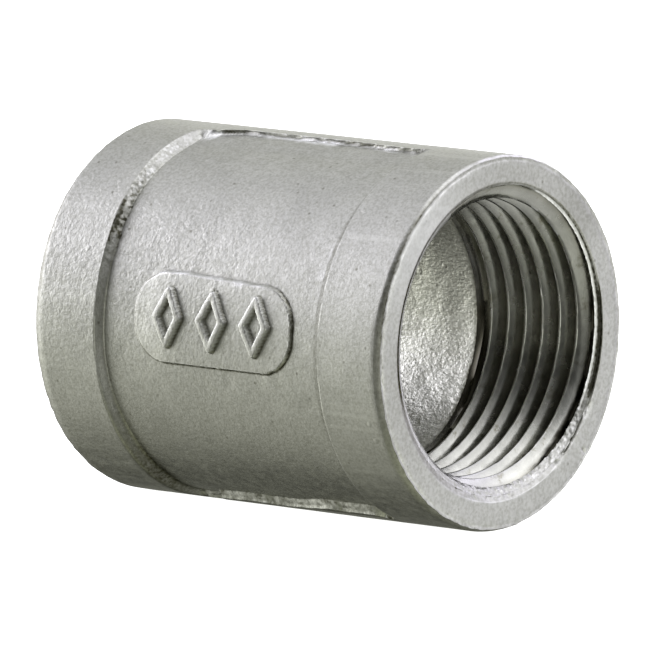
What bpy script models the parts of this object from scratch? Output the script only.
"""Banded pipe coupling.

One casting: a short thick-walled sleeve with a raised band round each end,
two longitudinal ribs that carry the band diameter across the waisted middle,
a raised oval pad with three plain lozenge marks on one side, and a tapered
right-hand pipe thread tapped into each end, run out into an as-cast relief.

Frame: bore along X, ribs at +Z and -Z, marked pad at -Y, origin at the centre.
Units: metres.
"""
import math

import bmesh
import bpy
from mathutils import Vector

MM = 0.001

# ---- sleeve -------------------------------------------------------------
LENGTH = 38.0 * MM              # overall, face to face
HALF_LENGTH = LENGTH / 2
BAND_RADIUS = 15.8 * MM         # end bands and rib tops
BARREL_RADIUS = 15.0 * MM       # waisted middle
BAND_WIDTH = 6.75 * MM          # from the end face to the top of the shoulder
SHOULDER_RUN = 0.85 * MM        # sloping shoulder between band and barrel
EDGE_BREAK = 0.2 * MM           # chamfer on the outer edge of each face
RIB_STEPS = 3                   # rib width, in facets of the body

SEGMENTS = 44                   # facets round the body; a multiple of four puts
                                # one flat squarely at each of +-Y and +-Z
STEP = 2 * math.pi / SEGMENTS
FLAT = 1 / math.cos(STEP / 2)   # makes the flats, not the corners, hold a radius

# ---- bore and thread: depths are measured inwards from each end face ------
THREAD_PITCH = 25.4 / 14 * MM   # 14 threads per inch
THREAD_TAPER = 1 / 32           # radius change per unit of depth (1:16 on diameter)
CREST_RADIUS = 11.83 * MM       # thread crests, where they would meet the face
ROOT_RADIUS = 13.0 * MM         # thread roots, where they would meet the face
ROOT_FLAT = 0.25 * MM           # width of the flat at the bottom of the groove
FLANK_ANGLE = math.radians(30)  # half angle of the groove
FIRST_CREST = 1.64 * MM         # depth of the first full crest, on the +Y side of
                                # the +X end and the -Y side of the -X end
THREAD_DEPTH = 11.5 * MM        # length of full thread
RUNOUT_SLOPE = 1.2              # radius lost per unit of depth past the full thread
THREAD_TURNS = 8                # turns of the groove cutter
TURNS_INSIDE = 7                # turns inwards from its +Y crossing to its inner end
MOUTH_RADIUS = 13.07 * MM       # countersink at the face
RELIEF_START = 12.0 * MM        # depth at which the as-cast relief begins
RELIEF_RADIUS = 11.95 * MM

# ---- marked pad ---------------------------------------------------------
PAD_CENTRE_X = 0.4 * MM
PAD_LENGTH = 17.5 * MM
PAD_HEIGHT = 7.8 * MM
PAD_TOP_RADIUS = 15.28 * MM
PAD_ARC_STEPS = 10              # facets in each half-round end
MARK_TOP_RADIUS = 15.68 * MM
MARK_SPACING = 4.8 * MM
MARK_HEIGHT = 5.8 * MM
MARK_WIDTH = 3.3 * MM
MARK_STROKE = 0.7 * MM

# ---- allowances on the helper solids --------------------------------------
WAIST_CLEARANCE = 0.8 * MM      # waist cutter beyond the bands
CREST_OVERRUN = 0.08 * MM       # thread flanks carried on inside the crests
GROOVE_OVERLAP = 0.6 * MM       # straight-sided part of the cutter below the flanks
RELIEF_NEAR = BARREL_RADIUS - 1.5 * MM    # pad and marks start inside the wall
RELIEF_FAR = BAND_RADIUS + 1.0 * MM       # and reach past the drum that trims them
DRUM_HALF_LENGTH = LENGTH / 3
DRUM_BORE_RADIUS = 0.5 * MM

TURN_MERGE = 0.01 * MM          # joins the seam of a turned solid
OUTLINE_MERGE = 0.005 * MM      # joins the caps and walls of a filled outline
SLIVER_WIDTH = 0.002 * MM       # anything thinner is closed up
SHARP_ANGLE = math.radians(20)

METAL_COLOUR = (0.62, 0.61, 0.58, 1.0)
METAL_ROUGHNESS = 0.42


# ---- objects and modifiers ----------------------------------------------
def new_collection(name):
    collection = bpy.data.collections.new(name)
    bpy.context.scene.collection.children.link(collection)
    return collection


def add_object(name, data, collection):
    obj = bpy.data.objects.new(name, data)
    collection.objects.link(obj)
    return obj


def as_helper(obj):
    obj.hide_render = True
    obj.display_type = "WIRE"
    return obj


def evaluated_mesh(obj):
    bpy.context.view_layer.update()
    depsgraph = bpy.context.evaluated_depsgraph_get()
    return bpy.data.meshes.new_from_object(obj.evaluated_get(depsgraph))


def apply_modifiers(obj):
    mesh = evaluated_mesh(obj)
    old = obj.data
    obj.modifiers.clear()
    obj.data = mesh
    bpy.data.meshes.remove(old)
    mesh.name = obj.name


def boolean(obj, other, operation):
    modifier = obj.modifiers.new(other.name, "BOOLEAN")
    modifier.operation = operation
    modifier.solver = "EXACT"
    modifier.object = other


# ---- solids from outlines -------------------------------------------------
def at_angle(x, radius, angle):
    """A point at a distance along the bore, a radius, and an angle from +Y to +Z."""
    return Vector((x, radius * math.cos(angle), radius * math.sin(angle)))


def close_solid(bm, mesh):
    """Cap the open ends, triangulate, and move the result into mesh."""
    bmesh.ops.holes_fill(bm, edges=[edge for edge in bm.edges if edge.is_boundary])
    bmesh.ops.triangulate(bm, faces=bm.faces[:])
    bmesh.ops.recalc_face_normals(bm, faces=bm.faces[:])
    bm.to_mesh(mesh)
    bm.free()


def turned(name, profile, collection):
    """A closed outline of (x, radius) points turned about the X axis."""
    mesh = bpy.data.meshes.new(name)
    verts = [at_angle(x, radius * FLAT, STEP / 2) for x, radius in profile]
    edges = [(i, (i + 1) % len(verts)) for i in range(len(verts))]
    mesh.from_pydata(verts, edges, [])
    obj = add_object(name, mesh, collection)
    screw = obj.modifiers.new("turn", "SCREW")
    screw.axis = "X"
    screw.angle = 2 * math.pi
    screw.steps = SEGMENTS
    screw.render_steps = SEGMENTS
    screw.use_merge_vertices = True
    screw.merge_threshold = TURN_MERGE
    screw.use_smooth_shade = False
    apply_modifiers(obj)
    return obj


def swept(name, section, start, steps, collection, advance=0.0):
    """A closed section of (x, radius) points swept round X, with capped ends.

    advance is the travel along X for one full turn, for a helix.
    """
    bm = bmesh.new()
    face = bm.faces.new([bm.verts.new(at_angle(x, radius * FLAT, start))
                         for x, radius in section])
    bmesh.ops.spin(bm, geom=[face] + face.verts[:] + face.edges[:],
                   cent=(0, 0, 0), axis=(1, 0, 0),
                   dvec=(advance / SEGMENTS, 0, 0),
                   angle=steps * STEP, steps=steps, use_duplicate=False)
    # a long sweep drifts, so each ring goes back to its own facet edge
    for vertex in bm.verts:
        radius = math.hypot(vertex.co.y, vertex.co.z)
        angle = math.atan2(vertex.co.z, vertex.co.y)
        facet_edge = round((angle - STEP / 2) / STEP) * STEP + STEP / 2
        vertex.co = at_angle(vertex.co.x, radius, facet_edge)
    mesh = bpy.data.meshes.new(name)
    close_solid(bm, mesh)
    return add_object(name, mesh, collection)


def flat_outline(name, loops, collection):
    """Closed outlines in (x, z), filled and extruded along Y through the -Y wall."""
    curve = bpy.data.curves.new(name, "CURVE")
    curve.dimensions = "2D"
    curve.fill_mode = "BOTH"
    curve.extrude = (RELIEF_FAR - RELIEF_NEAR) / 2
    curve.resolution_u = 1
    curve.render_resolution_u = 0
    for loop in loops:
        spline = curve.splines.new("POLY")
        spline.points.add(len(loop) - 1)
        for point, (x, z) in zip(spline.points, loop):
            point.co = (x, z, 0, 1)
        spline.use_cyclic_u = True
    source = add_object(name + "_outline", curve, collection)
    source.rotation_euler = (math.pi / 2, 0, 0)
    source.location = (0, -(RELIEF_NEAR + RELIEF_FAR) / 2, 0)
    mesh = evaluated_mesh(source)
    mesh.transform(source.matrix_world)
    bm = bmesh.new()
    bm.from_mesh(mesh)
    bmesh.ops.remove_doubles(bm, verts=bm.verts[:], dist=OUTLINE_MERGE)
    close_solid(bm, mesh)
    mesh.name = name
    bpy.data.objects.remove(source)
    return add_object(name, mesh, collection)


def stadium(centre_x, length, height, arc_steps):
    """Oval outline: two straight sides joined by half circles."""
    radius = height / 2
    arc_offset = length / 2 - radius
    points = []
    for side, first in ((1, -90), (-1, 90)):
        for i in range(arc_steps + 1):
            angle = math.radians(first + 180 * i / arc_steps)
            points.append((centre_x + side * arc_offset + radius * math.cos(angle),
                           radius * math.sin(angle)))
    return points


def lozenge(centre_x, width, height):
    return [(centre_x + width / 2, 0), (centre_x, height / 2),
            (centre_x - width / 2, 0), (centre_x, -height / 2)]


# ---- the pieces of the shape --------------------------------------------
def crest_at(depth):
    """Radius of the tapered bore, which is also the thread crests."""
    return CREST_RADIUS - THREAD_TAPER * depth


def body_blank(collection):
    """Full-diameter sleeve with countersunk, tapered, relieved bore."""
    countersink = MOUTH_RADIUS - crest_at(MOUTH_RADIUS - CREST_RADIUS)
    bore_half = [(HALF_LENGTH, MOUTH_RADIUS),
                 (HALF_LENGTH - countersink, crest_at(countersink)),
                 (HALF_LENGTH - THREAD_DEPTH, crest_at(THREAD_DEPTH)),
                 (HALF_LENGTH - RELIEF_START, RELIEF_RADIUS)]
    outside = [(HALF_LENGTH, BAND_RADIUS - EDGE_BREAK),
               (HALF_LENGTH - EDGE_BREAK, BAND_RADIUS),
               (-HALF_LENGTH + EDGE_BREAK, BAND_RADIUS),
               (-HALF_LENGTH, BAND_RADIUS - EDGE_BREAK)]
    inside = [(-x, radius) for x, radius in bore_half] + bore_half[::-1]
    return turned("coupling_body", outside + inside, collection)


def waist_cutter(name, first_rib, collection):
    """Ring sector that waists one side of the barrel between the two ribs.

    first_rib is the sign of Z of the rib it starts from: -1 cuts the +Y side,
    1 cuts the -Y side.
    """
    root = HALF_LENGTH - BAND_WIDTH - SHOULDER_RUN
    slope = SHOULDER_RUN / (BAND_RADIUS - BARREL_RADIUS)
    top = root + slope * (BAND_RADIUS - BARREL_RADIUS + WAIST_CLEARANCE)
    top_radius = BAND_RADIUS + WAIST_CLEARANCE
    section = [(-top, top_radius), (-root, BARREL_RADIUS),
               (root, BARREL_RADIUS), (top, top_radius)]
    start = first_rib * math.pi / 2 + RIB_STEPS * STEP / 2
    return as_helper(swept(name, section, start, SEGMENTS // 2 - RIB_STEPS, collection))


def thread_cutter(name, end, collection):
    """Right-hand tapered helical groove; end is the sign of X of its face."""
    # the flanks run on a little past the crests, then drop straight inwards
    inner = CREST_RADIUS - CREST_OVERRUN
    width = ROOT_FLAT + 2 * (ROOT_RADIUS - inner) * math.tan(FLANK_ANGLE)
    section = [(-width / 2, inner - GROOVE_OVERLAP),
               (-width / 2, inner),
               (-ROOT_FLAT / 2, ROOT_RADIUS),
               (ROOT_FLAT / 2, ROOT_RADIUS),
               (width / 2, inner),
               (width / 2, inner - GROOVE_OVERLAP)]
    # the groove centre crosses the +Y side half a pitch outside the first crest
    groove_at_y = HALF_LENGTH - FIRST_CREST + THREAD_PITCH / 2
    start = STEP / 2 - TURNS_INSIDE * 2 * math.pi
    centre = groove_at_y + THREAD_PITCH * start / (2 * math.pi)
    obj = swept(name, [(x + centre, radius) for x, radius in section], STEP / 2,
                THREAD_TURNS * SEGMENTS, collection, THREAD_PITCH)
    for vertex in obj.data.vertices:
        depth = HALF_LENGTH - vertex.co.x
        radius = math.hypot(vertex.co.y, vertex.co.z)
        shift = -THREAD_TAPER * depth - RUNOUT_SLOPE * max(0.0, depth - THREAD_DEPTH)
        factor = (radius + shift) / radius
        vertex.co.y *= factor
        vertex.co.z *= factor
        if end < 0:             # half a turn about Z swaps the two ends
            vertex.co.x = -vertex.co.x
            vertex.co.y = -vertex.co.y
    return as_helper(obj)


def raised_feature(name, loops, top_radius, collection):
    """Extruded outlines, trimmed to the part that lies inside a drum."""
    feature = flat_outline(name, loops, collection)
    profile = [(DRUM_HALF_LENGTH, top_radius), (-DRUM_HALF_LENGTH, top_radius),
               (-DRUM_HALF_LENGTH, DRUM_BORE_RADIUS), (DRUM_HALF_LENGTH, DRUM_BORE_RADIUS)]
    drum = as_helper(turned(name + "_drum", profile, collection))
    boolean(feature, drum, "INTERSECT")
    apply_modifiers(feature)
    return as_helper(feature)


def marked_pad(collection):
    oval = stadium(PAD_CENTRE_X, PAD_LENGTH, PAD_HEIGHT, PAD_ARC_STEPS)
    return raised_feature("marked_pad", [oval], PAD_TOP_RADIUS, collection)


def lozenge_marks(collection):
    """Three lozenge outlines in a row, each drawn with an even stroke."""
    side = math.hypot(MARK_WIDTH, MARK_HEIGHT)
    inset = 1 - 2 * MARK_STROKE * side / (MARK_WIDTH * MARK_HEIGHT)
    loops = []
    for i in (-1, 0, 1):
        x = PAD_CENTRE_X + i * MARK_SPACING
        loops += [lozenge(x, MARK_WIDTH, MARK_HEIGHT),
                  lozenge(x, MARK_WIDTH * inset, MARK_HEIGHT * inset)]
    return raised_feature("lozenge_marks", loops, MARK_TOP_RADIUS, collection)


# ---- finish -------------------------------------------------------------
def merge_slivers(mesh):
    """Close up the hair-thin triangles left where facets meet edge to edge."""
    bm = bmesh.new()
    bm.from_mesh(mesh)
    bmesh.ops.remove_doubles(bm, verts=bm.verts[:], dist=SLIVER_WIDTH)
    bmesh.ops.dissolve_degenerate(bm, edges=bm.edges[:], dist=SLIVER_WIDTH)
    bmesh.ops.triangulate(bm, faces=bm.faces[:])
    bm.to_mesh(mesh)
    bm.free()


def cast_steel():
    metal = bpy.data.materials.new("cast_steel")
    metal.use_nodes = True
    shader = metal.node_tree.nodes["Principled BSDF"]
    shader.inputs["Base Color"].default_value = METAL_COLOUR
    shader.inputs["Metallic"].default_value = 1.0
    shader.inputs["Roughness"].default_value = METAL_ROUGHNESS
    return metal


def build():
    for obj in list(bpy.data.objects):
        bpy.data.objects.remove(obj)
    parts = new_collection("pipe_coupling")
    cutters = new_collection("cutters")

    body = body_blank(parts)
    for first_rib, name in ((-1, "waist_front"), (1, "waist_back")):
        boolean(body, waist_cutter(name, first_rib, cutters), "DIFFERENCE")
    boolean(body, marked_pad(cutters), "UNION")
    boolean(body, lozenge_marks(cutters), "UNION")
    for end, name in ((1, "thread_a"), (-1, "thread_b")):
        boolean(body, thread_cutter(name, end, cutters), "DIFFERENCE")
    apply_modifiers(body)
    merge_slivers(body.data)

    body.data.shade_smooth()
    body.data.set_sharp_from_angle(angle=SHARP_ANGLE)
    body.data.materials.clear()     # booleans can leave an empty slot
    body.data.materials.append(cast_steel())


build()
